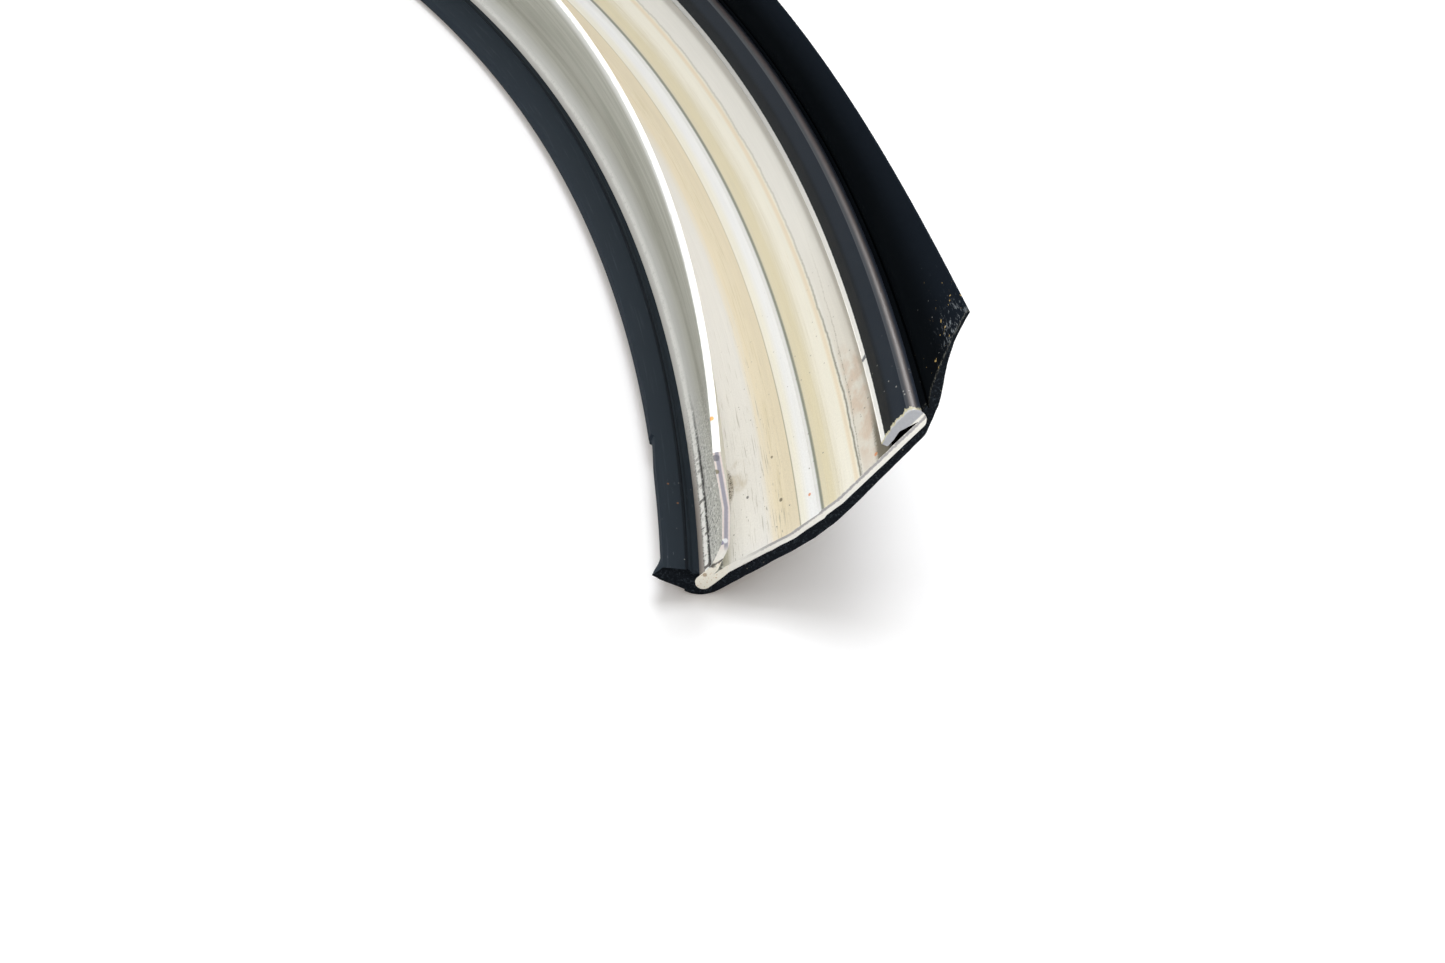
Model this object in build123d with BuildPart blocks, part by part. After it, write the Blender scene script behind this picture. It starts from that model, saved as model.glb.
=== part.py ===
# Curved rear window trim: a roll-formed metal strip in a black rubber cover, lying on its rounded foot.
# Millimetres, +Z up. X runs along the chord between the two cut ends, the convex side faces +Y, and
# the origin is under the middle of the bounding box, on the floor.
# A point of the section is (outwards from the left fold, up from its lowest metal).
import math
import os

from build123d import *

# Path of the trim in plan
arc_radius = 375.0  # from the arc's axis to the left fold
arc_angle = 66.0  # degrees between the two cut ends

# Metal strip
metal_thickness = 0.65
flange_offset = 1.86  # flange centre line, outwards of the fold
flange_height = 13.25
flange_straight_to = 8.0  # height where the flange begins to lean
flange_lean = 0.76  # how far its top leans towards the glass
flange_bend_height = 4.4
flange_top_bend_radius = 8.0
flange_bend_radius = 2.0
root_run = 1.90  # from the fold to the bend below the flange
root_bend_radius = 0.9
fold_height = 0.13  # centre line of the lower layer at the fold
fold_slope = 42.2  # degrees
fold_spacing = 0.79  # between the centre lines of the two folded layers
fold_run = 2.63  # length of the lower layer of the fold
vee_depth = 0.5  # how far the gap between the layers runs into the fold
web_start_radius = 1.5
web_slope_low = 31.2  # degrees, from the fold to the knee
web_slope_high = 48.9  # degrees, from the knee to the hem
web_run_low = 8.47
web_run_high = 12.75
hem_bend_radius = 0.62
hem_leg_run = 2.2
hem_leg_closing = 1.7  # degrees that the folded leg leans towards the web
hem_tip_run = 1.66
hem_tip_closing = 14.7  # degrees
hem_tip_radius = 1.0
lens_end = 0.1  # how far the gap in the hem runs past the bend's centre

# Facet across the web's knee, with a bead: a flat pressed slightly below the facet, then a short riser
facet_before_knee = 2.2
facet_after_knee = 2.75
bead_start_share = 0.17  # places along the facet
bead_end_share = 0.67
bead_riser = 0.36
bead_depth = 0.10

# Rubber cover
foot_cover = 1.01  # from the fold's metal to the corner that the foot rounds off
foot_corner_angle = -95.0  # degrees, from the fold's centre
foot_radius = 2.6
foot_slope = -30.3  # degrees, of the cover's lower side beside the glass
foot_root_run = 0.12
knee_cover = 0.95
knee_radius = 18.0
hem_cover_drop = 0.41
hem_cover_radius = 1.5
root_outer = (0.58, -0.53)  # from the hem's outermost and highest metal
root_inner = (-0.07, 0.37)
root_seat_angle = 58.0  # degrees, from the hem's centre
left_root_height = 1.95
left_root_lean = 0.25
pocket_bottom = (-0.85, 1.42)
pocket_seat = (-0.1, 1.32)

# Right lip, from the hem's outermost and highest metal
lip_right_outer = ((0.38, -0.93), (0.74, -0.08), (1.04, 1.28), (1.24, 3.38), (1.94, 6.58), (2.81, 8.54))
lip_right_inner = ((0.13, -0.53), (0.14, -0.08), (0.16, 1.28), (0.68, 3.38), (1.72, 6.58), (2.63, 8.60))
lip_right_pull = 4.5  # how far its tip leans back along the middle of the trim
lip_right_bow = 1.3  # the lean grows with this power of the height
lip_right_fade = 45.0  # length over which the flare at a cut end dies away

# Left lip: its root's low corner, tip's low and high corners, and root's high corner
lip_left_end = ((-1.2, -0.2), (-3.6, 1.0), (-3.31, 2.1), (-1.1, 1.78))
lip_left_middle = ((-1.2, -0.2), (-6.0, -0.35), (-5.9, 0.3), (-1.1, 1.78))
lip_left_fade = 110.0
lip_stations = (0.0, 12.0, 27.0, 45.0, 70.0, 105.0, 150.0)  # distances from each cut end

# Torn point of the left lip at one cut end
spike_tip = (-4.27, 1.32)
spike_root = (-2.9, 1.4)
spike_length = 2.5


def along(start, degrees, distance):
    """Point a distance away from a start, in a direction measured from level."""
    turn = math.radians(degrees)
    return (start[0] + distance * math.cos(turn), start[1] + distance * math.sin(turn))


def shifted(start, step):
    """Point a step away from a start."""
    return (start[0] + step[0], start[1] + step[1])


def between(start, end, share):
    """Point part of the way from one point to another."""
    return tuple(a + (b - a) * share for a, b in zip(start, end))


def headings(points):
    """Direction of each run of a path, in degrees."""
    return [
        math.degrees(math.atan2(b[1] - a[1], b[0] - a[0])) for a, b in zip(points, points[1:])
    ]


def side_of(points, radii, distance):
    """Corners and corner radii of the line that runs beside a path, to its left."""
    runs = headings(points)
    corners = [along(points[0], runs[0] + 90, distance)]
    side_radii = []
    for point, before, after, radius in zip(points[1:], runs, runs[1:], radii):
        turn = (after - before + 180) % 360 - 180
        reach = distance / math.cos(math.radians(turn / 2))
        corners.append(along(point, before + turn / 2 + 90, reach))
        side_radii.append(radius - math.copysign(distance, distance * turn) if radius else 0)
    corners.append(along(points[-1], runs[-1] + 90, distance))
    return corners, side_radii


# Centre line of the metal strip, from the top of the flange to the tip of the hem
half_thickness = metal_thickness / 2
fold_low = (0, fold_height)
fold_high = along(fold_low, fold_slope + 90, fold_spacing)
fold_radius = fold_spacing / 2
fold_center = along(between(fold_low, fold_high, 0.5), fold_slope, fold_radius)
root_bend = along(fold_high, fold_slope, root_run)
web_start = along(fold_low, fold_slope, fold_run)
web_knee = along(web_start, web_slope_low, web_run_low)
hem_low = along(web_knee, web_slope_high, web_run_high)
hem_high = along(hem_low, web_slope_high + 90, 2 * hem_bend_radius)
hem_arch = along(hem_high, web_slope_high + 180 + hem_leg_closing, hem_leg_run)
hem_tip = along(hem_arch, web_slope_high + 180 + hem_tip_closing, hem_tip_run)
hem_center = along(between(hem_low, hem_high, 0.5), web_slope_high, -hem_bend_radius)
facet_start = along(web_knee, web_slope_low, -facet_before_knee)
facet_end = along(web_knee, web_slope_high, facet_after_knee)
facet_slope = headings([facet_start, facet_end])[0]
bead_start = between(facet_start, facet_end, bead_start_share)
bead_end = between(facet_start, facet_end, bead_end_share)
bead_low = along(along(bead_end, facet_slope, -bead_riser), facet_slope - 90, bead_depth)

tight = 0.97  # share of a bend's half width that its two rounded corners take
flange_points = [
    (flange_offset - flange_lean, flange_height),
    (flange_offset, flange_straight_to),
    (flange_offset, flange_bend_height),
    root_bend,
]
flange_radii = [flange_top_bend_radius, flange_bend_radius]
web_points = [web_start, facet_start, bead_start, bead_low, bead_end, facet_end, hem_low]
web_radii = [web_start_radius, 0, 0, 0, 0, 0]
leg_points = [hem_high, hem_arch, hem_tip]
strip_points = flange_points + [fold_high, fold_low] + web_points + leg_points
strip_radii = (
    flange_radii
    + [root_bend_radius, fold_radius * tight, fold_radius * tight]
    + web_radii
    + [hem_bend_radius * tight, hem_bend_radius * tight, hem_tip_radius]
)

# The inner side has no room for the two bends: its layers meet in a point in the fold and in the hem
vee_point = along(along(root_bend, fold_slope, -vee_depth), fold_slope - 90, fold_spacing / 2)
lens_floor = along(hem_center, web_slope_high - 90, hem_bend_radius - half_thickness)
lens_point = along(lens_floor, web_slope_high, lens_end)

# The cover's lower side, from the lip's root beside the glass to its root beside the body
fold_outer_radius = fold_radius + half_thickness
hem_outer_radius = hem_bend_radius + half_thickness
hem_extreme = shifted(hem_center, (hem_outer_radius, hem_outer_radius))
foot_corner = along(fold_center, foot_corner_angle, fold_outer_radius + foot_cover)
cover_knee = along(web_knee, (web_slope_low + web_slope_high) / 2 - 90, half_thickness + knee_cover)
cover_hem_corner = shifted(hem_center, (hem_outer_radius, -hem_outer_radius - hem_cover_drop))
cover_root_outer = shifted(hem_extreme, root_outer)
cover_root_inner = shifted(hem_extreme, root_inner)
cover_root_seat = along(hem_center, root_seat_angle, hem_bend_radius)

# The foot is the rounded corner between the first two runs
foot_rise = headings([foot_corner, cover_knee])[0]
foot_half_turn = math.radians(foot_rise - foot_slope) / 2
foot_tangent = foot_radius * math.tan(foot_half_turn)
foot_center = along(foot_corner, (foot_rise + foot_slope) / 2 + 90, foot_radius / math.cos(foot_half_turn))
foot_depth = foot_radius - foot_center[1]  # rubber below the lowest metal point
left_root_low = along(foot_corner, foot_slope + 180, foot_tangent + foot_root_run)
left_root_top = (left_root_low[0] + left_root_lean, left_root_height)

# Plan of the path: the convex side's outermost point and the cut ends' innermost one are the box's sides
half_angle = arc_angle / 2
start_angle = 90 - half_angle
plan_front = arc_radius + cover_root_outer[0]
plan_back = (arc_radius + spike_tip[0]) * math.cos(math.radians(half_angle))
axis_y = -(plan_front + plan_back) / 2
path_axis = Axis((0, axis_y, 0), (0, 0, 1))
degrees_per_length = 1 / math.radians(arc_radius)


def section_plane(angle):
    """Upright plane of one section, with its origin at the left fold."""
    out = Vector(math.cos(math.radians(angle)), math.sin(math.radians(angle)), 0)
    origin = Vector(0, axis_y, foot_depth) + out * arc_radius
    return Plane(origin=origin, x_dir=out, z_dir=out.cross(Vector(0, 0, 1)))


start_plane = section_plane(start_angle)


def inner_side():
    """Inner side of the strip's section, whose layers meet at the fold and in the hem."""
    flange_side, flange_side_radii = side_of(flange_points + [fold_high], flange_radii + [root_bend_radius],
                                             half_thickness)
    web_side, web_side_radii = side_of([fold_low] + web_points, web_radii, half_thickness)
    leg_side, leg_side_radii = side_of(leg_points, [hem_tip_radius], half_thickness)
    corners = flange_side[:-1] + [vee_point] + web_side[1:-1] + [lens_point] + leg_side[1:]
    return corners, flange_side_radii + [0] + web_side_radii + [0] + leg_side_radii


with BuildPart() as metal_channel:
    with BuildSketch(start_plane) as metal_section:
        with BuildLine():
            outer_corners, outer_radii = side_of(strip_points, strip_radii, -half_thickness)
            inner_corners, inner_radii = inner_side()
            outer_line = FilletPolyline(*outer_corners, radius=outer_radii)
            inner_line = FilletPolyline(*inner_corners, radius=inner_radii)
            for end in (0, 1):
                Line(outer_line @ end, inner_line @ end)
        make_face()
    revolve(axis=path_axis, revolution_arc=arc_angle)
metal_channel.part.label = "metal_channel"


def flare(station, fade):
    """Share of a cut end's flare that is left at a distance from it."""
    return math.exp(-station / fade)


def right_lip(angle, station):
    """Section of the lip beside the body, which leans back away from the cut ends."""
    pull = lip_right_pull * (1 - flare(station, lip_right_fade))
    low, high = lip_right_outer[0][1], lip_right_outer[-1][1]
    sides = []
    for side in (lip_right_outer, lip_right_inner):
        leaned = [(x - pull * (max(y - low, 0) / (high - low)) ** lip_right_bow, y) for x, y in side]
        sides.append([shifted(hem_extreme, point) for point in leaned])
    with BuildSketch(section_plane(angle)) as lip_section:
        with BuildLine():
            outer = Spline(*sides[0])
            inner = Spline(*sides[1])
            Line(outer @ 0, inner @ 0)
            Line(outer @ 1, inner @ 1)
        make_face()
    return lip_section.sketch.face()


def left_lip(angle, station):
    """Section of the lip beside the glass, which lies down away from the cut ends."""
    share = flare(station, lip_left_fade)
    corners = [between(*pair, share) for pair in zip(lip_left_middle, lip_left_end)]
    with BuildSketch(section_plane(angle)) as lip_section:
        with BuildLine():
            Polyline(*corners, close=True)
        make_face()
    return lip_section.sketch.face()


def spike():
    """Section of the torn point at the cut end, and the point in the lip that it tapers to."""
    with BuildSketch(start_plane) as spike_section:
        with BuildLine():
            Polyline(spike_tip, lip_left_end[1], spike_root, lip_left_end[2], close=True)
        make_face()
    end = section_plane(start_angle + spike_length * degrees_per_length).from_local_coords(Vector(*spike_root))
    return spike_section.sketch.face(), Vertex(*end)


# Angles of the lips' sections, from one cut end to the other, with the distance from the nearer end
half_length = half_angle / degrees_per_length
half_sections = [(start_angle + s * degrees_per_length, s) for s in (*lip_stations, half_length)]
sections = half_sections + [(180 - angle, s) for angle, s in reversed(half_sections[:-1])]

with BuildPart() as rubber_cover:
    with BuildSketch(start_plane) as cover_section:
        with BuildLine():
            lower = FilletPolyline(
                left_root_low, foot_corner, cover_knee, cover_hem_corner, cover_root_outer,
                radius=[foot_radius, knee_radius, hem_cover_radius],
            )
            Polyline(
                lower @ 1, cover_root_inner, cover_root_seat, *reversed(web_points),
                fold_low, fold_high, pocket_seat, pocket_bottom, left_root_top, lower @ 0,
            )
        make_face()
        add(metal_section.sketch_local, mode=Mode.SUBTRACT)
    revolve(axis=path_axis, revolution_arc=arc_angle)
    for lip in (right_lip, left_lip):
        loft([lip(angle, station) for angle, station in sections])
    loft(spike())
rubber_cover.part.label = "rubber_cover"

os.makedirs("parts", exist_ok=True)
export_step(metal_channel.part, "parts/metal_channel.step")
export_step(rubber_cover.part, "parts/rubber_cover.step")
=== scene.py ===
# Looks of the curved rear window trim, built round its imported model. Lengths are metres, and the
# section's own places are millimetres: outwards from the left fold, up from the lowest metal, and
# along the trim from the near cut end.
import math

import bmesh
import bpy
from mathutils import Matrix, Vector, noise


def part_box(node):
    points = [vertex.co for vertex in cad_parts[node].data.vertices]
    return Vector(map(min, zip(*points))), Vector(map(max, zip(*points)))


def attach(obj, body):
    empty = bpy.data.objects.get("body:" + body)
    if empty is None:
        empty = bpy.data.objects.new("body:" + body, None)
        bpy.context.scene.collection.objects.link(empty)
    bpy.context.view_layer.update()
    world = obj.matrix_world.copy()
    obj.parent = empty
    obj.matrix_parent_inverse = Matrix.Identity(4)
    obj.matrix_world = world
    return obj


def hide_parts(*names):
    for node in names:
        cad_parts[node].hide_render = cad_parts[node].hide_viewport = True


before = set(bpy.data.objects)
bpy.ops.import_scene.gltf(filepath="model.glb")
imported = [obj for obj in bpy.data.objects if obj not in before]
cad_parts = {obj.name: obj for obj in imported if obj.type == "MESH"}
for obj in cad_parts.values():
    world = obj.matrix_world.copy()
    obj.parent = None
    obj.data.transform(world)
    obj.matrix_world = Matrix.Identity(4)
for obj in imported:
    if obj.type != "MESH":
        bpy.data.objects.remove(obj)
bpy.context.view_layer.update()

mm = 0.001
arc_radius = 375.0 * mm  # from the arc's axis to the left fold
half_arc = math.radians(33)
torn_tip = -4.27 * mm  # the corner of the cover that is nearest to the axis
metal_height = 0.597 * mm  # of the lowest metal above the floor
axis = Vector((0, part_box("rubber_cover")[0].y - (arc_radius + torn_tip) * math.cos(half_arc), 0))
near_angle = math.pi / 2 - half_arc
outwards = Vector((math.cos(near_angle), math.sin(near_angle), 0))
inwards = Vector((-math.sin(near_angle), math.cos(near_angle), 0))  # into the trim from its near end
upwards = Vector((0, 0, 1))
fold_at_end = axis + outwards * arc_radius + upwards * metal_height
near_end = axis + outwards * arc_radius  # on the floor
trim_length = 2 * half_arc * arc_radius / mm

# The metal's section
web_slope = math.radians(48.9)  # of the web's upper run
web_place = (11.0, 8.355)  # on the centre line of that run
slope_start = (4, 2)  # place from which distances up the slope are measured
flange_top = ((0.778, 13.203), (1.422, 13.297))
hem_tip = ((14.215, 13.665), (14.797, 13.376))
hem_start, hem_crest = 14.2, 16.1  # how far outwards the hem's leg begins and its crest is
leg_height = 0.4  # the hem's leg lies higher than this over the web's centre line
bend_start = 18.4  # up the slope, where the hem's bend begins
gap_start = 15.6  # up the slope, where the painted shade inside the hem begins

# Mesh
spin_steps = 180
same_point = 0.002 * mm  # points that are closer than this are welded
cut_depth = 0.01  # points nearer than this to the near end lie on its cut
corner_reach = 0.04  # a point this near to a corner's place is that corner

# Stage
floor_size = 8
floor_lit_to, floor_white_from = 0.5, 0.9  # distances from the trim's middle
table_glow = 0.14
world_light, world_white = 0.25, 1.0
seen_rays = ("Is Camera Ray", "Is Glossy Ray", "Is Transmission Ray")


def section_of(point):
    """Where a point lies on the trim, in millimetres: outwards, up and along."""
    flat = Vector((point.x - axis.x, point.y - axis.y))
    angle = math.atan2(flat.y, flat.x)
    return (
        (flat.length - arc_radius) / mm,
        (point.z - metal_height) / mm,
        (angle - near_angle) * arc_radius / mm,
    )


def angle_at(along):
    """Angle round the axis of a place so many millimetres along the trim."""
    return near_angle + along * mm / arc_radius


def place_of(out, up, along):
    """The point at a place on the trim."""
    angle = angle_at(along)
    reach = arc_radius + out * mm
    return Vector((
        axis.x + reach * math.cos(angle), axis.y + reach * math.sin(angle), metal_height + up * mm))


def from_end(out, into, up):
    """Vector that goes outwards, into the trim and up, as seen from its near end."""
    return out * outwards + into * inwards + up * upwards


def off_web(place):
    """How far a place in the section is above the centre line of the web's upper run."""
    return (place[1] - web_place[1]) * math.cos(web_slope) - (place[0] - web_place[0]) * math.sin(web_slope)


def up_slope(place, start):
    """How far a place in the section is past another, up the slope of the web's upper run."""
    return (place[0] - start[0]) * math.cos(web_slope) + (place[1] - start[1]) * math.sin(web_slope)


def smooth_share(value, low, high):
    """0 below low, 1 above high, and a soft rise between."""
    share = min(max((value - low) / (high - low), 0), 1)
    return share * share * (3 - 2 * share)


def paint(red, green, blue):
    """A colour written as on screen, 0 to 255, as Blender's linear colour."""
    shares = [value / 255 for value in (red, green, blue)]
    return (*[s / 12.92 if s <= 0.04045 else ((s + 0.055) / 1.055) ** 2.4 for s in shares], 1)


# Finishes, whose patterns follow the trim

class Value:
    """A number that changes over a finish, so that shader maths reads as arithmetic."""

    def __init__(self, finish, socket):
        self.finish, self.socket = finish, socket

    def maths(self, operation, other=0.0):
        return self.finish.node("ShaderNodeMath", {"operation": operation}, {0: self, 1: other})

    def __add__(self, other):
        return self.maths("ADD", other)

    def __sub__(self, other):
        return self.maths("SUBTRACT", other)

    def __mul__(self, other):
        return self.maths("MULTIPLY", other)

    def __rsub__(self, other):
        return (self * -1) + other

    __radd__ = __add__
    __rmul__ = __mul__


class Finish:
    """A material and the nodes that give it its look. Its colour is built up coat by coat."""

    def __init__(self, name, **constants):
        self.material = bpy.data.materials.new(name)
        self.material.use_nodes = True
        self.tree = self.material.node_tree
        self.surface = self.tree.nodes["Principled BSDF"]
        self.colour = (0, 0, 0, 1)
        for socket, value in constants.items():
            title = socket.replace("_", " ").title().replace("Ior", "IOR")
            self.surface.inputs[title].default_value = value
        self.place = self.node("ShaderNodeTexCoord", output="Object")
        x, y, z = self.outputs("ShaderNodeSeparateXYZ", range(3), {0: self.place})
        y = y - axis.y
        reach = (x * x + y * y).maths("SQRT")
        angle = y.maths("ARCTAN2", x)
        self.out = (reach - arc_radius) * (1 / mm)
        self.up = (z - metal_height) * (1 / mm)
        self.along = (angle - near_angle) * (arc_radius / mm)

    def outputs(self, kind, wanted, inputs=None, settings=None):
        """Add a node, give it its settings and its inputs' values or links, and return some outputs."""
        made = self.tree.nodes.new(kind)
        for name, value in (settings or {}).items():
            setattr(made, name, value)
        for socket, value in (inputs or {}).items():
            if isinstance(value, Value):
                self.tree.links.new(value.socket, made.inputs[socket])
            else:
                made.inputs[socket].default_value = value
        return [Value(self, made.outputs[output]) for output in wanted]

    def node(self, kind, settings=None, inputs=None, output=0):
        """Add a node as above, for one of its outputs."""
        return self.outputs(kind, [output], inputs, settings)[0]

    def rise(self, value, low, high):
        """Mask that is 0 where a value is below low and 1 where it is above high."""
        settings = {"interpolation_type": "SMOOTHSTEP"}
        return self.node("ShaderNodeMapRange", settings, {0: value, 1: low, 2: high})

    def fall(self, value, low, high):
        """Mask that is 1 where a value is below low and 0 where it is above high."""
        return self.rise(value * -1, -high, -low)

    def band(self, value, low, high, soft):
        """Mask of the stretch between two values, with soft borders."""
        return self.rise(value, low - soft, low + soft) * self.fall(value, high - soft, high + soft)

    def stretched(self, across, upright, lengthwise):
        """The place on the trim, with each of its three measures times its own number."""
        return self.node("ShaderNodeCombineXYZ", inputs={
            0: self.out * across, 1: self.up * upright, 2: self.along * lengthwise})

    def grain(self, across, upright, lengthwise, detail=3, roughness=0.55):
        """Noise with so many grains a millimetre across, up and along the trim, from 0 to 1."""
        place = self.stretched(across, upright, lengthwise)
        return self.node("ShaderNodeTexNoise", inputs={
            "Vector": place, "Scale": 1.0, "Detail": detail, "Roughness": roughness}, output="Fac")

    def specks(self, across, upright, lengthwise, size, share):
        """Mask of loose specks: the size of each in its cell, and the share of the cells that have one."""
        place = self.stretched(across, upright, lengthwise)
        inputs = {"Vector": place, "Scale": 1.0}
        far, chances = self.outputs("ShaderNodeTexVoronoi", ["Distance", "Color"], inputs)
        chance = self.node("ShaderNodeSeparateColor", inputs={0: chances})
        return self.fall(far, size * 0.5, size) * self.rise(chance, 1 - share, 1.02 - share)

    def spot(self, out, along, radius, stretch=1.0):
        """Mask of one round or long mark at a place on the trim."""
        across = (self.out - out) * (1 / radius)
        down = (self.along - along) * (1 / (radius * stretch))
        return self.fall(across * across + down * down, 0.3, 1.0)

    def mix(self, first, second, factor):
        """The first colour, or the second where the factor is 1."""
        return self.node("ShaderNodeMix", {"data_type": "RGBA"}, {0: factor, 6: first, 7: second}, 2)

    def coat(self, colour, mask):
        """Lay a colour over the finish so far, as thickly as the mask says."""
        self.colour = self.mix(self.colour, colour, mask)

    def shade(self, factor):
        """Make the finish so far darker or lighter by a factor round 1."""
        grey = self.node("ShaderNodeCombineColor", inputs={0: factor, 1: factor, 2: factor})
        settings = {"data_type": "RGBA", "blend_type": "MULTIPLY"}
        self.colour = self.node("ShaderNodeMix", settings, {0: 1.0, 6: self.colour, 7: grey}, 2)

    def use(self, **links):
        """Link what changes over the surface to the finish's sockets."""
        for socket, value in links.items():
            self.tree.links.new(value.socket, self.surface.inputs[socket.replace("_", " ")])

    def relief(self, height, depth):
        """Bump the surface by a height of 0 to 1, so many millimetres deep."""
        bump = self.node("ShaderNodeBump", inputs={"Height": height, "Distance": depth * mm, "Strength": 1.0})
        self.use(Normal=bump)


def web_lacquer():
    """Old ivory and tan lacquer on the inside of the strip, scratched and stained near the cut end."""
    finish = Finish("web_lacquer")
    out, along = finish.out, finish.along
    near = finish.fall(along, 8, 50)
    waver = (finish.grain(0.0, 0.0, 0.12, 2) - 0.5) * 0.25
    streaks = finish.grain(3.2, 0.0, 0.035, 4)
    threads = finish.grain(9, 0.0, 0.09, 4, 0.65)
    fine = finish.grain(8, 0.0, 4.0, 4, 0.7)
    place = out + waver * 0.6 + (streaks - 0.5) * 0.9 + (threads - 0.5) * 0.7

    # How far outwards the bead's two edges, the glue line and the root of the hem are
    bead_low, bead_high, glue, hem_root = 7.9, 9.6, 12.6, 14.8

    # Bands of colour, from the flange to the hem
    grey_white, tan = paint(238, 236, 231), paint(239, 227, 199)
    cream, clear_white = paint(250, 247, 233), paint(251, 252, 252)
    finish.colour = finish.mix(grey_white, tan, finish.rise(place, 5.2, 6.3) * 0.95)
    brown_threads = finish.band(place, 6.4, 7.2, 0.3) * finish.rise(threads, 0.45, 0.65)
    finish.coat(paint(206, 192, 152), brown_threads * 0.5)
    finish.coat(cream, finish.rise(out, bead_low, bead_low + 0.1))
    finish.coat(clear_white, finish.rise(out, bead_low + 0.3, bead_low + 1.0))
    finish.coat(paint(228, 219, 190), finish.rise(out, bead_high - 0.05, bead_high + 0.1))
    finish.coat(paint(232, 222, 188), finish.band(place, 10.1, 10.8, 0.25) * 0.7)
    finish.coat(paint(252, 248, 233), finish.rise(place, 10.5, 11.6) * 0.97)
    finish.coat(paint(236, 216, 180), finish.band(out, glue - 0.4, glue - 0.1, 0.12) * 0.6)
    finish.coat(paint(240, 238, 230), finish.rise(out + waver, glue - 0.1, glue + 0.15))
    tan_threads = finish.rise(threads, 0.55, 0.7) * finish.rise(out, 9.9, 10.2) * finish.fall(out, 11.8, 12.5)
    finish.coat(paint(196, 178, 138), tan_threads * 0.3)

    # The pale strip and the pink patch beside the hem, and a brown stain beside the flange
    cloud = finish.grain(0.9, 0.0, 0.35, 4)
    pink_place = finish.band(out, 12.95, 14.4, 0.25) * finish.band(along, 1.5, 18, 3)
    finish.coat(paint(224, 218, 204), finish.rise(out, glue + 0.1, glue + 0.4) * near * 0.8)
    finish.coat(paint(212, 190, 168), pink_place * finish.rise(cloud, 0.38, 0.6) * 0.75)
    brown = finish.spot(3.6, 12, 0.9, 3.2) * finish.rise(cloud, 0.35, 0.6)
    finish.coat(paint(196, 184, 158), brown * 0.6)

    # Lines at the bead's two edges, dried glue, a painted shadow beside the hem's root, dirt near the cut end
    # there, and black painted shade where the web runs in under the hem
    finish.coat(paint(128, 124, 96), finish.band(out, bead_low, bead_low + 0.06, 0.05) * (0.35 + near * 0.5))
    finish.coat(paint(112, 120, 110), finish.band(out, bead_high - 0.02, bead_high + 0.2, 0.07) * 0.85)
    glue_place = out + waver * 1.6 + (finish.grain(0.0, 0.0, 1.1, 3) - 0.5) * 0.16
    glue_line = finish.band(glue_place, glue - 0.02, glue + 0.1, 0.08)
    glue_branch = finish.band(glue_place - along * 0.02, glue + 0.12, glue + 0.18, 0.05)
    finish.coat(paint(96, 92, 64), glue_line * (0.35 + 0.6 * near))
    finish.coat(paint(110, 100, 66), glue_branch * near * finish.rise(fine, 0.4, 0.6))
    # Painted shadow: a soft darker band on the web just before the hem's root
    finish.coat(paint(150, 142, 128), finish.rise(out, hem_root - 0.75, hem_root - 0.45) * 0.45)
    dirt_place = out + (fine - 0.5) * 0.5 - along * 0.03
    root_dirt = finish.rise(dirt_place, hem_root - 1.05, hem_root - 0.7) * finish.fall(along, 3, 10)
    finish.coat(paint(84, 76, 52), root_dirt * 0.9)
    # Painted shade: black where the web runs in under the hem's leg
    finish.coat(paint(10, 10, 9), finish.rise(out, hem_root - 0.02, hem_root + 0.12))

    # Scratches, specks and single dots near the cut end
    pale_half = finish.fall(out, 6.5, 7.8)
    scratches = finish.rise(finish.grain(9, 0.0, 0.22, 3), 0.57, 0.68) * near * pale_half
    finish.coat(paint(140, 134, 108), scratches * 0.5)
    ticks = finish.rise(finish.grain(7, 0.0, 0.9, 3), 0.63, 0.7) * finish.fall(along, 6, 22) * pale_half
    finish.coat(paint(112, 106, 82), ticks * 0.55)
    dirt = finish.specks(2.6, 0.0, 1.7, 0.2, 0.14) * near
    finish.coat(paint(92, 86, 66), dirt * 0.65)
    stain = finish.spot(2.62, 11.3, 0.55, 5.5)
    stain_specks = stain * finish.rise(finish.grain(5, 0.0, 4, 3, 0.7), 0.49, 0.58)
    finish.coat(paint(146, 130, 96), stain * 0.5)
    finish.coat(paint(60, 52, 38), stain_specks * 0.9)
    finish.coat(paint(200, 197, 178), finish.fall(out, 1.9, 2.5) * near * 0.7)
    for dot_out, dot_along, radius, dot_colour in (
        (4.1, 8.2, 0.13, paint(70, 72, 66)),
        (6.7, 5.3, 0.16, paint(84, 74, 44)),
        (6.5, 12.2, 0.12, paint(120, 104, 70)),
        (8.9, 3.4, 0.13, paint(236, 150, 84)),
        (13.9, 1.0, 0.14, paint(224, 140, 70)),
    ):
        finish.coat(dot_colour, finish.spot(dot_out, dot_along, radius, 2.0) * 0.85)
    finish.shade(0.96 + (streaks - 0.5) * 0.1 + (threads - 0.5) * 0.14 + (fine - 0.5) * 0.3 * near)
    finish.use(Base_Color=finish.colour, Roughness=0.36 + streaks * 0.2)
    finish.relief(fine * 0.6 + threads * 0.4 - scratches * 0.5, 0.02)
    return finish


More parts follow.
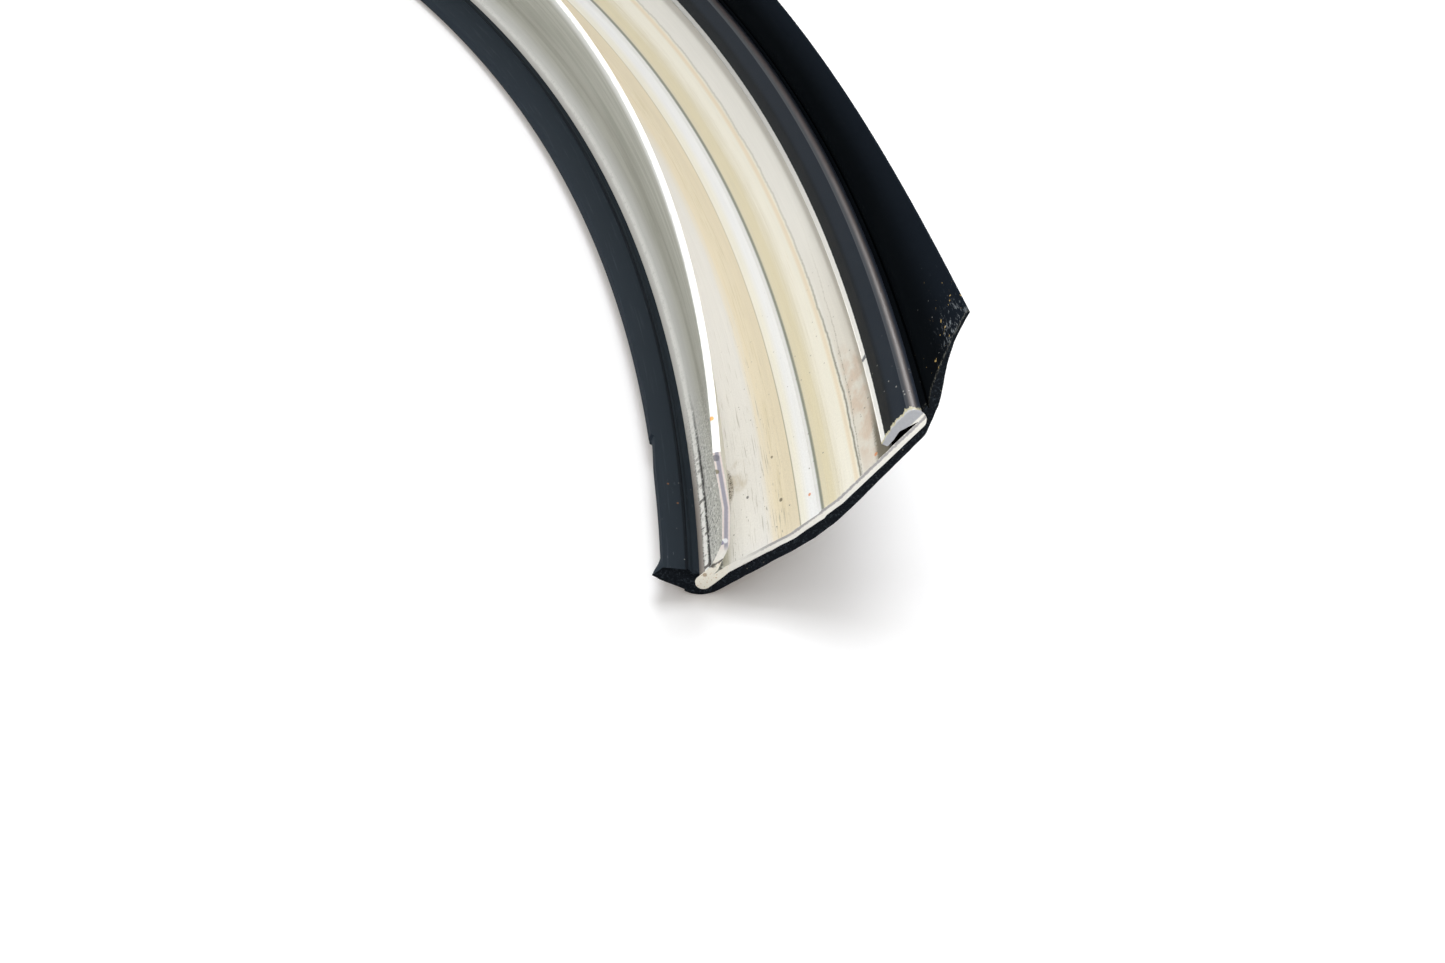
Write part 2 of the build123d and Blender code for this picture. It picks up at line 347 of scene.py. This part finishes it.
def flange_lacquer():
    """Dull grey lacquer on the glass side of the flange and the fold, with dirt in the corner."""
    finish = Finish("flange_lacquer")
    out, up, along = finish.out, finish.up, finish.along
    near, pitted = finish.fall(along, 6, 27), finish.fall(along, 12, 32)
    streaks = finish.grain(1.5, 1.5, 0.03, 4)
    speckle = finish.grain(5, 5, 2.6, 3, 0.7)
    slow, quick = finish.grain(0.0, 0.0, 0.3, 3), finish.grain(0.0, 0.0, 3.4, 3, 0.7)
    ragged = out + (slow - 0.5) * 0.2 + (quick - 0.5) * 0.16
    torn = finish.grain(2, 2, 1.6, 3, 0.7)
    dots = finish.grain(4, 4, 4.5, 2, 0.6)

    # Grey lacquer, paler near the cut end, at the fold and at the top, with specks, pits and chips
    finish.colour = finish.mix(paint(178, 177, 163), paint(158, 157, 142), finish.rise(streaks, 0.35, 0.65))
    finish.coat(paint(222, 222, 212), near * 0.7)
    finish.coat(paint(226, 226, 220), finish.fall(up, 1.8, 4.2))
    finish.coat(paint(236, 236, 230), finish.rise(up, 11.4, 12.8) * 0.7)
    finish.coat(paint(150, 150, 138), finish.rise(speckle, 0.48, 0.62) * near * 0.8)
    pits = finish.rise(finish.grain(4.8, 4.8, 3.4, 3, 0.7), 0.53, 0.6) * pitted
    finish.coat(paint(78, 78, 70), pits * 0.75)
    chips = finish.rise(finish.grain(4.2, 4.4, 3.6, 3, 0.7), 0.54, 0.6) * pitted
    finish.coat(paint(250, 250, 244), chips * 0.7)

    # The fold's soft brown side, a painted highlight along the ridge above it, broken up by noise, and the
    # two broken lines of dirt beside that
    finish.coat(paint(158, 150, 142), finish.fall(ragged, 0.0, 0.14) * (0.25 + near * 0.75))
    finish.coat(paint(92, 86, 82), finish.fall(out, -0.4, 0.05) * (0.2 + near * 0.65))
    # Painted highlight on the fold's ridge
    ridge_highlight = finish.band(ragged, 0.15, 0.43, 0.06) * finish.rise(torn, 0.34, 0.5)
    finish.coat(paint(253, 252, 247), ridge_highlight * (0.5 + near * 0.5))
    left_line = finish.band(ragged, 0.06, 0.11, 0.05) * finish.rise(dots, 0.48, 0.55)
    right_line = finish.band(ragged, 0.47, 0.64, 0.05) * finish.rise(dots, 0.34, 0.44)
    lines = (left_line + right_line).maths("MINIMUM", 1.0)
    finish.coat(paint(22, 20, 18), lines * finish.fall(along, 14, 34))
    blots = finish.band(ragged, 0.1, 0.65, 0.1) * finish.rise(finish.grain(0.5, 0.5, 0.9, 2), 0.58, 0.62)
    finish.coat(paint(48, 42, 36), blots * near * 0.9)
    finish.use(Base_Color=finish.colour, Roughness=0.42 + speckle * 0.2)
    finish.relief(speckle * 0.5 - lines * 0.6, 0.03)
    return finish


def worn_edge():
    """Bright worn top edge of the flange, with one orange fleck."""
    finish = Finish("worn_edge", roughness=0.35)
    patches = finish.grain(1.5, 1.5, 0.4, 4)
    finish.colour = finish.mix(paint(250, 249, 244), paint(228, 226, 218), finish.rise(patches, 0.5, 0.7))
    finish.coat(paint(238, 160, 50), finish.spot(0.9, 5.3, 0.24, 1.7) * finish.rise(finish.up, 12, 12.5))
    finish.use(Base_Color=finish.colour)
    finish.relief(patches, 0.03)
    return finish


def black_finish(name, gloss):
    """Thin satin black finish on the outside of the hem, torn away along the cut end."""
    finish = Finish(name, specular_ior_level=gloss)
    out, along = finish.out, finish.along
    cloud = finish.grain(0.8, 0.8, 0.1, 3)
    fine = finish.grain(10, 10, 3, 3)
    from_tip = up_slope((out, finish.up), hem_tip[0])
    finish.colour = finish.mix(paint(17, 27, 38), paint(25, 35, 46), cloud)
    # Painted shade: darker just above the leg's tip, where the leg turns down towards the web
    finish.coat(paint(1, 8, 16), finish.band(from_tip, 0.3, 1.9, 0.3) * 0.9)

    # The crest's pale line, partly worn and partly a painted highlight, a painted bluish sheen on the bend
    # beyond it, and the bare edge of the tip
    finish.coat(paint(50, 57, 69), finish.rise(out, 16.7, 17.0))
    finish.coat(paint(112, 103, 101), finish.band(out, 16.4, 16.85, 0.2) * 0.9)
    bare_edge = finish.fall(from_tip + (fine - 0.5) * 0.12, 0.52, 0.6)
    bright = finish.mix(paint(250, 249, 245), paint(206, 206, 203), finish.rise(along, 15, 80))
    finish.coat(bright, bare_edge)
    finish.coat(paint(128, 130, 134), finish.spot(14.5, 13.2, 0.5, 0.8) * bare_edge)

    # Bare metal with an ochre rim where the finish is torn, and dust
    torn = along + (finish.grain(2.2, 2.2, 0.6, 4) - 0.5) * 1.9
    finish.coat(paint(208, 202, 172), finish.fall(torn, 0.42, 0.56))
    finish.coat(paint(204, 205, 206), finish.fall(torn, 0.1, 0.25))
    dust = finish.specks(2.4, 2.4, 1.6, 0.22, 0.2) * finish.fall(along, 3, 16)
    finish.coat(paint(190, 190, 184), dust * 0.6)
    finish.use(Base_Color=finish.colour, Roughness=0.3 + cloud * 0.08 + dust * 0.3)
    finish.relief(fine * 0.3 + finish.rise(torn, 0.2, 0.5), 0.02)
    return finish


def painted_gap_shade():
    """Painted shade in the narrow gap inside the folded hem: matt black without gloss, with a faint brownish
    grain.
    """
    finish = Finish("painted_gap_shade", specular_ior_level=0.0, roughness=1.0)
    finish.use(Base_Color=finish.mix(paint(4, 4, 4), paint(16, 14, 11), finish.grain(3, 3, 1.5)))
    return finish


def cut_metal():
    """Sawn ends of the strip: pale, with grey in the web and the hem and mauve in the flange."""
    finish = Finish("cut_metal", roughness=0.4, metallic=0.25)
    out, up = finish.out, finish.up
    fine = finish.grain(5, 5, 5, 4)

    # The web's three runs, each by its climb a millimetre and its height where out is 0
    web_runs = ((0.6056, 0.717), (0.87, -1.22), (1.146, -4.25))
    low_run, facet, high_run = [out * climb + start for climb, start in web_runs]
    web_line = low_run.maths("MAXIMUM", facet).maths("MAXIMUM", high_run)
    height = (up - web_line) * 0.75
    grey_line = finish.band(height + (fine - 0.5) * 0.3, 0.08, 0.34, 0.06) * finish.rise(out, 2.5, 6)
    finish.colour = finish.mix(paint(248, 244, 234), paint(176, 172, 170), grey_line)
    finish.coat(paint(178, 179, 182), finish.rise(height, 0.55, 0.7) * finish.rise(out, 12, 13))

    # The flange, which leans above 8 mm, and the fold
    flange = finish.rise(up, 3.6, 4.4) * finish.fall(out, 3.0, 3.2)
    middle = finish.band(out - (8 - up).maths("MINIMUM", 0.0) * 0.145, 1.7, 2.02, 0.06)
    finish.coat(paint(238, 226, 218), flange)
    finish.coat(paint(166, 162, 172), flange * middle)
    fold = finish.fall(up, 2.4, 3.0) * finish.fall(out, 1.8, 2.4)
    finish.coat(paint(252, 246, 230), fold)
    finish.coat(paint(214, 190, 160), fold * finish.rise(fine, 0.56, 0.7))

    # The dark crack where the fold turns up into the flange
    crack_slope, crack_start = math.radians(35.5), (0.6, 2.2)
    across, above = out - crack_start[0], up - crack_start[1]
    off_crack = above * math.cos(crack_slope) - across * math.sin(crack_slope) + (fine - 0.5) * 0.3
    along_crack = across * math.cos(crack_slope) + above * math.sin(crack_slope)
    wider = 1 - finish.band(along_crack, 0.0, 0.5, 0.2) * 0.65
    crack = finish.band(off_crack * wider, -0.07, 0.06, 0.05) * finish.band(along_crack, -0.1, 1.8, 0.1)
    finish.coat(paint(44, 36, 26), crack * 0.9)

    # Dabs on the cut. The white dab at the flange's foot is a painted highlight, and the blue-grey dab beside
    # it painted shade, standing for a small curled burr
    for dab_out, dab_up, radius, dab_colour in (
        (1.05, 12.7, 0.35, paint(120, 120, 128)),
        (1.1, 11.4, 0.25, paint(120, 112, 76)),
        # painted highlight on a small curled burr
        (1.75, 4.75, 0.3, paint(255, 255, 255)),
        # painted shade beside that burr
        (1.45, 4.55, 0.3, paint(112, 110, 146)),
        (0.1, 1.4, 0.22, paint(176, 150, 116)),
        (2.1, 2.75, 0.2, paint(70, 60, 40)),
    ):
        across, above = (out - dab_out) * (1 / radius), (up - dab_up) * (1 / radius)
        dab = finish.fall(across * across + above * above + (fine - 0.5) * 1.2, 0.4, 1.0)
        finish.coat(dab_colour, dab * 0.8)
    finish.shade(0.86 + fine * 0.24)
    finish.use(Base_Color=finish.colour)
    finish.relief(fine, 0.05)
    return finish


def cover_rubber_with_sheen():
    """Black rubber of the foot and the glass-side lip, dusty where it was cut. It is the same rubber as the
    tall lip, painted lighter and bluer here as painted sheen.
    """
    finish = Finish("cover_rubber_with_sheen", specular_ior_level=0.04)
    near = finish.fall(finish.along, 4, 22)
    cloud = finish.grain(0.5, 0.5, 0.06, 3)
    fine = finish.grain(8, 8, 3, 3)
    streaks = finish.grain(5, 5, 0.12, 3)
    # Painted sheen: a lighter bluish base than the tall lip's, which is the same rubber
    finish.colour = finish.mix(paint(32, 40, 47), paint(39, 47, 55), cloud)
    finish.coat(paint(14, 18, 24), finish.band(finish.out, -1.5, -1.2, 0.1) * 0.8)
    finish.coat(paint(52, 60, 68), finish.rise(streaks, 0.55, 0.75) * 0.6)
    scratches = finish.rise(finish.grain(6, 6, 0.7, 3), 0.66, 0.74) * near
    finish.coat(paint(96, 104, 110), scratches * 0.6)
    dust = finish.specks(2.0, 2.0, 1.3, 0.17, 0.13) * near
    finish.coat(paint(158, 160, 156), dust * 0.6)
    for dot_out, dot_along in ((-2.5, 13.4), (-1.8, 10.3)):
        finish.coat(paint(120, 84, 54), finish.spot(dot_out, dot_along, 0.12, 1.5) * 0.7)
    finish.use(Base_Color=finish.colour, Roughness=0.62 + cloud * 0.12 + dust * 0.2)
    finish.relief(fine * 0.25 + cloud * 0.3, 0.03)
    return finish


def shaded_lip_rubber():
    """The tall body-side lip: the same black rubber as the foot, painted darker as painted shade, with dust
    and ochre flakes near its cut corner.
    """
    finish = Finish("shaded_lip_rubber", specular_ior_level=0.0)
    up, along = finish.up, finish.along
    near = finish.fall(along, 2, 14)
    cloud = finish.grain(0.5, 0.5, 0.06, 3)
    fine = finish.grain(8, 8, 3, 3)
    # Painted shade: the same rubber as the foot, painted darker here
    finish.colour = finish.mix(paint(11, 14, 17), paint(17, 20, 23), cloud)
    finish.coat(paint(30, 36, 44), finish.rise(up, 20, 25.5) * 0.8)
    corner = finish.rise(up, 17, 24.5) * near
    swirl = finish.grain(0.8, 0.8, 0.9, 2) * 1.6
    tip = finish.band(up, 21.5, 25.5, 1.6) * finish.fall(along, 0.6, 7)
    haze = finish.rise(finish.grain(4.5, 3.5, 1.1, 4, 0.7) + tip * 0.12 + swirl * 0.04, 0.65, 0.78)
    finish.coat(paint(128, 134, 138), haze * (tip * 0.8 + corner * 0.2).maths("MINIMUM", 1.0))
    flakes = finish.grain(1.1, 1.9, 1.5, 2, 0.6)
    ochre = finish.rise(flakes + corner * 0.06 + tip * 0.03, 0.735, 0.765)
    finish.coat(paint(196, 168, 108), ochre * near * 0.9)
    dusty_rim = finish.fall(along, 0.25, 0.6) * finish.rise(finish.grain(5, 5, 5, 3, 0.7), 0.46, 0.62)
    finish.coat(paint(112, 112, 104), dusty_rim * 0.7)
    crumbs = finish.specks(2.1, 2.1, 1.9, 0.16, 0.1) * near
    finish.coat(paint(196, 196, 190), crumbs * 0.6)
    finish.use(Base_Color=finish.colour, Roughness=0.55 + cloud * 0.2)
    finish.relief(fine * 0.25 + cloud * 0.3, 0.03)
    return finish


def cut_rubber():
    """Cut end of the rubber, matt black, with paler grain and crumbs."""
    finish = Finish("cut_rubber", specular_ior_level=0.05, roughness=0.75)
    fine = finish.grain(5, 5, 5, 4, 0.7)
    finish.colour = finish.mix(paint(20, 24, 29), paint(58, 64, 70), finish.rise(fine, 0.5, 0.72))
    finish.coat(paint(118, 116, 104), finish.specks(2.2, 2.2, 2.2, 0.18, 0.12) * 0.7)
    finish.use(Base_Color=finish.colour)
    finish.relief(fine, 0.08)
    return finish


def white_table():
    """Matt white table top, which looks pure white where the lamps reach it and far away."""
    finish = Finish("white_table", base_color=paint(243, 246, 250), roughness=0.7,
                    specular_ior_level=0.1, emission_strength=1.0)
    seen = sum(finish.outputs("ShaderNodeLightPath", seen_rays))
    distance = finish.node("ShaderNodeVectorMath", {"operation": "LENGTH"}, {0: finish.place}, "Value")
    glow = finish.mix((0, 0, 0, 1), paint(255, 232, 204), table_glow)
    glow = finish.mix(glow, (1, 1, 1, 1), finish.rise(distance, floor_lit_to, floor_white_from))
    finish.use(Emission_Color=finish.mix((0, 0, 0, 1), glow, seen))
    return finish


# Which faces a finish goes to. A face's place and its facing are each outwards, up and along

def give(piece, finish, test):
    """Give a finish to the faces whose place and facing pass a test."""
    piece.data.materials.append(finish.material)
    for face in piece.data.polygons:
        place = section_of(face.center)
        angle = angle_at(place[2])
        away = Vector((math.cos(angle), math.sin(angle), 0))
        facing = (face.normal.dot(away), face.normal.z, face.normal.x * -away.y + face.normal.y * away.x)
        if test(place, facing):
            face.material_index = len(piece.data.materials) - 1


def everywhere(place, facing):
    """Every face of the piece."""
    return True


def cut_ends(place, facing):
    """The two cut ends, which face along the trim."""
    return abs(facing[2]) > 0.9


def flange_side(place, facing):
    """The glass side of the flange and the fold."""
    return facing[0] < 0.2 and place[0] < 1.6


def flange_edge(place, facing):
    """The top edge of the flange."""
    return facing[1] > 0.1 and 13.1 < place[1] < 14 and place[0] < 3


def hem_outside(place, facing):
    """The hem's leg and its bend."""
    on_bend = up_slope(place, slope_start) > bend_start
    return place[0] > hem_start and (off_web(place) > leg_height or on_bend)


def hem_below_crest(place, facing):
    """The hem's leg, up to the crest's worn line."""
    return hem_start < place[0] < hem_crest and off_web(place) > leg_height


def hem_inside(place, facing):
    """The two faces of the narrow gap inside the hem: the underside of its leg, and the web below."""
    slope, height = up_slope(place, slope_start), off_web(place)
    away = facing[1] * math.cos(web_slope) - facing[0] * math.sin(web_slope)
    under_leg = slope > gap_start and 0.1 < height < 1.1 and away < -0.3
    over_web = slope > gap_start + 0.15 and 0.1 < height < 0.5 and away > 0.3
    return under_leg or over_web


def tall_lip(place, facing):
    """The body-side lip."""
    return place[0] > 15 and place[1] > 15.7


# Modelling steps that both pieces use

def points_of(piece):
    """The piece's points in edit mode."""
    return bmesh.from_edit_mesh(piece.data).verts


def cut_end_outline(node, name):
    """The flat near cut end of a CAD node, as one face of a new piece that stays in edit mode."""
    piece = bpy.data.objects.new(name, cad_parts[node].data.copy())
    bpy.context.scene.collection.objects.link(piece)
    piece.data.materials.clear()
    bpy.ops.object.select_all(action="DESELECT")
    bpy.context.view_layer.objects.active = piece
    piece.select_set(True)
    bpy.ops.object.mode_set(mode="EDIT")
    bpy.ops.mesh.select_all(action="SELECT")
    bpy.ops.mesh.customdata_custom_splitnormals_clear()
    bpy.ops.mesh.remove_doubles(threshold=same_point)
    bpy.ops.mesh.select_all(action="DESELECT")
    bpy.ops.mesh.select_mode(type="FACE")
    for face in bmesh.from_edit_mesh(piece.data).faces:
        off_end = (face.calc_center_median() - fold_at_end).dot(inwards)
        face.select = face.normal.dot(inwards) < -0.999 and abs(off_end) < cut_depth * mm
    bmesh.update_edit_mesh(piece.data)
    bpy.ops.mesh.select_all(action="INVERT")
    bpy.ops.mesh.delete(type="FACE")
    bpy.ops.mesh.select_all(action="SELECT")
    bpy.ops.mesh.dissolve_faces()
    return piece


def soften(piece, corners, width):
    """Round the outline's corners that lie at given places in the section."""
    bpy.ops.mesh.select_all(action="DESELECT")
    bpy.ops.mesh.select_mode(type="VERT")
    for point in points_of(piece):
        out, up = section_of(point.co)[:2]
        point.select = any(math.hypot(out - x, up - z) < corner_reach for x, z in corners)
    bmesh.update_edit_mesh(piece.data)
    bpy.ops.mesh.bevel(offset=width * mm, segments=2, affect="VERTICES")


def divide(piece, longest):
    """Divide the outline's long edges, so that the cut end can be worn between them."""
    shortest_part = 0.7 * longest * mm
    bpy.ops.mesh.select_mode(type="EDGE")
    for cuts in (15, 7, 3, 1):
        bpy.ops.mesh.select_all(action="DESELECT")
        for edge in bmesh.from_edit_mesh(piece.data).edges:
            edge.select = edge.calc_length() > shortest_part * (cuts + 1)
        bmesh.update_edit_mesh(piece.data)
        if any(edge.select for edge in bmesh.from_edit_mesh(piece.data).edges):
            bpy.ops.mesh.subdivide(number_cuts=cuts)
    bpy.ops.mesh.select_mode(type="FACE")


def spin_round():
    """Spin the outline in edit mode round the trim's arc into a closed solid."""
    bpy.ops.mesh.select_all(action="SELECT")
    bpy.ops.mesh.spin(steps=spin_steps, angle=-2 * half_arc, center=axis, axis=(0, 0, 1))
    bpy.ops.mesh.select_all(action="SELECT")
    bpy.ops.mesh.remove_doubles(threshold=same_point)
    bpy.ops.mesh.normals_make_consistent(inside=False)


def ring(along):
    """Cut a ring of points round the whole piece, so many millimetres from its near cut end."""
    angle = angle_at(along)
    bpy.ops.mesh.select_all(action="SELECT")
    bpy.ops.mesh.bisect(plane_co=axis, plane_no=(-math.sin(angle), math.cos(angle), 0))


def close_up(piece, angle):
    """Leave edit mode and shade the piece smooth, with corners sharper than an angle kept sharp."""
    bmesh.update_edit_mesh(piece.data)
    bpy.ops.object.mode_set(mode="OBJECT")
    bpy.ops.object.shade_smooth_by_angle(angle=math.radians(angle))


# The metal strip
corner_width = 0.09
longest_metal_edge = 0.45
metal_rings = (0.12, 0.5, 1.2)  # distances from the near end
metal_corner = 10.5  # degrees
leg_rise, leg_rise_from, leg_rise_run = 0.17, 13.9, 2.5
leg_inside = (0.36, 1.02)  # heights over the web's centre line
saw_depth = 0.1


def leg_raised(out, up, along):
    """The inner side of the hem's leg stands a little further off the web near its tip."""
    slope = up_slope((out, up), slope_start) - leg_rise_from
    if 0.2 < slope < leg_rise_run and leg_inside[0] < off_web((out, up)) < leg_inside[1]:
        rise = leg_rise * math.sin(slope / leg_rise_run * math.pi)
        out, up = out - rise * math.sin(web_slope), up + rise * math.cos(web_slope)
    return out, up, along


def sawn(out, up, along):
    """Saw marks and small burrs on the near cut, which never reach past the end of the solid."""
    if along < cut_depth:
        wear = noise.noise(Vector((out * 1.1, up * 1.1, 3))) * 0.5 + 0.5
        burr_out = noise.noise(Vector((out * 5, up * 5, 9))) * 0.035
        burr_up = noise.noise(Vector((up * 5, out * 5, 4))) * 0.03
        out, up, along = out + burr_out, up + burr_up, saw_depth * wear
    return out, up, along


metal_strip = cut_end_outline("metal_channel", "metal_strip")
soften(metal_strip, flange_top + hem_tip, corner_width)
divide(metal_strip, longest_metal_edge)
spin_round()
for along in metal_rings:
    ring(along)
for point in points_of(metal_strip):
    point.co = place_of(*sawn(*leg_raised(*section_of(point.co))))
close_up(metal_strip, metal_corner)

for finish, faces in (
    (web_lacquer(), everywhere),
    (flange_lacquer(), flange_side),
    (black_finish("black_finish", 0.3), hem_outside),
    (black_finish("black_finish_low", 0.04), hem_below_crest),
    # painted shade, black and matt, in the narrow gap inside the hem
    (painted_gap_shade(), hem_inside),
    (worn_edge(), flange_edge),
    (cut_metal(), cut_ends),
):
    give(metal_strip, finish, faces)

# The rubber cover, whose two lips change their lean along the trim
longest_rubber_edge = 0.5
rubber_rings = (0.25, 0.9, 1.7, 20.6, 21.7, 22.0)  # distances from the near end
rubber_corner = 35  # degrees
right_lip_root = 17.3
right_lip_low, right_lip_high = 15.85, 25.38
right_lip_pull, right_lip_bow, right_lip_fade = 4.5, 1.3, 45
left_lip_root, left_lip_tip, left_lip_fade = -1.15, -3.45, 110
left_lip_spread, left_lip_sink = 2.55, 1.55
torn_length, torn_reach, torn_rise = 2.5, 0.75, 0.2
nick_start, nick_end, nick_depth = 15, 21.8, 0.22
cut_wobble, slant_depth, crumb_depth = 0.07, 0.7, 1.3


def leaned(out, up, along):
    """Where a point of the cover's cut end comes to lie further along the trim."""
    station = max(min(along, trim_length - along), 0)
    if out > right_lip_root and up > right_lip_low:
        height = (up - right_lip_low) / (right_lip_high - right_lip_low)
        out -= right_lip_pull * (1 - math.exp(-station / right_lip_fade)) * height ** right_lip_bow
    if out < left_lip_root:
        # The torn point, which only the near end has, and a nick in the edge further on
        torn = min(max((left_lip_tip - out) / torn_reach, 0), 1) * smooth_share(along, 0, torn_length)
        out += torn_reach * torn
        up += torn_rise * torn
        if out < -3.0 and nick_start < along < nick_end:
            out += nick_depth * smooth_share(along, nick_start, nick_end)
        reach = min((left_lip_root - out) / (left_lip_root - left_lip_tip), 1.15)
        lie_down = 1 - math.exp(-((station / left_lip_fade) ** 1.4))
        out -= left_lip_spread * lie_down * reach
        up -= left_lip_sink * lie_down * reach
    return out, up, along


def slanted(out, up, along):
    """The cut across the glass-side lip slants back, and a crumb is gone beside the fold."""
    if along < cut_depth:
        along += cut_wobble * (1 + noise.noise(Vector((out * 1.3, up * 1.3, 5))))
        if out < -0.7 and up > 0.9:
            beside_fold = smooth_share(-abs(out + 1.1), -0.35, -0.2)
            along += slant_depth * smooth_share(up, 0.9, 1.9) * smooth_share(-out, 0.9, 1.4)
            along += crumb_depth * smooth_share(up, 1.1, 1.5) * beside_fold
    return out, up, along


rubber_cover = cut_end_outline("rubber_cover", "rubber_cover_skin")
divide(rubber_cover, longest_rubber_edge)
spin_round()
for along in rubber_rings:
    ring(along)
for point in points_of(rubber_cover):
    point.co = place_of(*leaned(*slanted(*section_of(point.co))))
close_up(rubber_cover, rubber_corner)

for finish, faces in (
    # the same rubber as the tall lip, with painted sheen
    (cover_rubber_with_sheen(), everywhere),
    # the same rubber as the foot, painted darker as painted shade
    (shaded_lip_rubber(), tall_lip),
    (cut_rubber(), cut_ends),
):
    give(rubber_cover, finish, faces)

for piece, node in ((metal_strip, "metal_channel"), (rubber_cover, "rubber_cover")):
    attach(piece, "root")
    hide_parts(node)


# The camera, at the place and angle of the photograph
right = from_end(0.99934, -0.03627, 0)
forward = from_end(0.0306, 0.84324, -0.53666)
above = right.cross(forward)
camera_place = fold_at_end + from_end(-3.21, -131.7, 94.33) * mm
camera_turn = Matrix((right, above, -forward)).transposed()
camera = bpy.data.objects.new("camera", bpy.data.cameras.new("camera"))
bpy.context.scene.collection.objects.link(camera)
camera.matrix_world = Matrix.Translation(camera_place) @ camera_turn.to_4x4()
camera.data.sensor_width = 36
camera.data.lens = 48.7046
camera.data.clip_start = 0.01
bpy.context.scene.camera = camera

# Floor, lamps and world
bpy.context.scene.view_settings.view_transform = "Standard"
bpy.ops.mesh.primitive_plane_add(size=floor_size)
floor = bpy.context.object
floor.name = "floor"
floor.data.materials.append(white_table().material)

# Soft square lamps that point at the near end: place from it, width in metres and power in watts
for name, place, width, power in (
    ("window", (0.35, 1.0, 0.65), 1.0, 14.5),
    ("overhead", (0.1, 0.65, 0.95), 0.7, 7),
    ("fill", (-0.9, 0.3, 0.6), 1.0, 4),
    ("front", (0, -0.9, 0.55), 1.0, 3),
):
    light = bpy.data.lights.new(name, "AREA")
    light.size = width
    light.energy = power
    lamp = bpy.data.objects.new(name, light)
    bpy.context.scene.collection.objects.link(lamp)
    lamp.location = near_end + from_end(*place)
    lamp.rotation_euler = (near_end - lamp.location).to_track_quat("-Z", "Y").to_euler()

# The world is white where it is seen, and lights the trim more weakly
world = bpy.data.worlds.new("world")
world.use_nodes = True
bpy.context.scene.world = world
nodes, links = world.node_tree.nodes, world.node_tree.links
rays = nodes.new("ShaderNodeLightPath")
seen = rays.outputs[seen_rays[0]]
for ray in seen_rays[1:]:
    both = nodes.new("ShaderNodeMath")
    both.operation = "ADD"
    links.new(seen, both.inputs[0])
    links.new(rays.outputs[ray], both.inputs[1])
    seen = both.outputs[0]
world_level = nodes.new("ShaderNodeMapRange")
world_level.inputs["To Min"].default_value = world_light
world_level.inputs["To Max"].default_value = world_white
background = nodes["Background"]
background.inputs["Color"].default_value = (1, 1, 1, 1)
links.new(seen, world_level.inputs["Value"])
links.new(world_level.outputs["Result"], background.inputs["Strength"])
